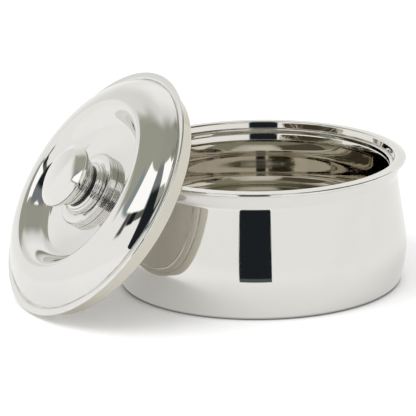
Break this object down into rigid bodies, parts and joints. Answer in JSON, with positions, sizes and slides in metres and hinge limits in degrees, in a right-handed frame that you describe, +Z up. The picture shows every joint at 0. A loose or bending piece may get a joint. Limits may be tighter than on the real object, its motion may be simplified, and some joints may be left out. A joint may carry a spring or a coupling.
{
  "type": "insulated chapati casserole",
  "caption": "Round double-walled steel casserole with a foam-filled wall and a loose insulated lid with a turned knob, shown leaning on the pot's lip.",
  "frame": {"origin": "on the pot's axis, on the table under its flat bottom", "axes": "+Z is up along the pot's axis; the lid leans on the -X side of the lip, with its knob facing -X and up"},
  "size_m": [0.287, 0.2108, 0.1575],
  "materials": {
    "pot_steel": "polished",
    "lid_steel": "polished",
    "knob_steel": "polished",
    "bowl_steel": "gloss",
    "foam": "matte",
    "plug_plastic": "matte",
    "spacer_plastic": "gloss",
    "fastener_steel": "satin"
  },
  "bodies": {
    "pot": {"outer_shell": "pot_steel", "inner_bowl": "bowl_steel", "body_insulation": "foam", "fill_plug": "plug_plastic"},
    "lid": {"lid_top_shell": "lid_steel", "lid_inner_pan": "bowl_steel", "lid_insulation": "foam", "knob_foot": "knob_steel", "knob_ferrule": "knob_steel", "knob_spacer": "spacer_plastic", "knob_cup": "knob_steel", "knob_cap": "knob_steel", "knob_stud": "fastener_steel", "knob_washer": "fastener_steel", "knob_nut": "fastener_steel"}
  },
  "joints": [
    {"name": "lid_lift", "type": "slide", "parent": "pot", "child": "lid", "axis": [-0.8211, 0, 0.5707], "range_m": [0, 0.15]}
  ]
}
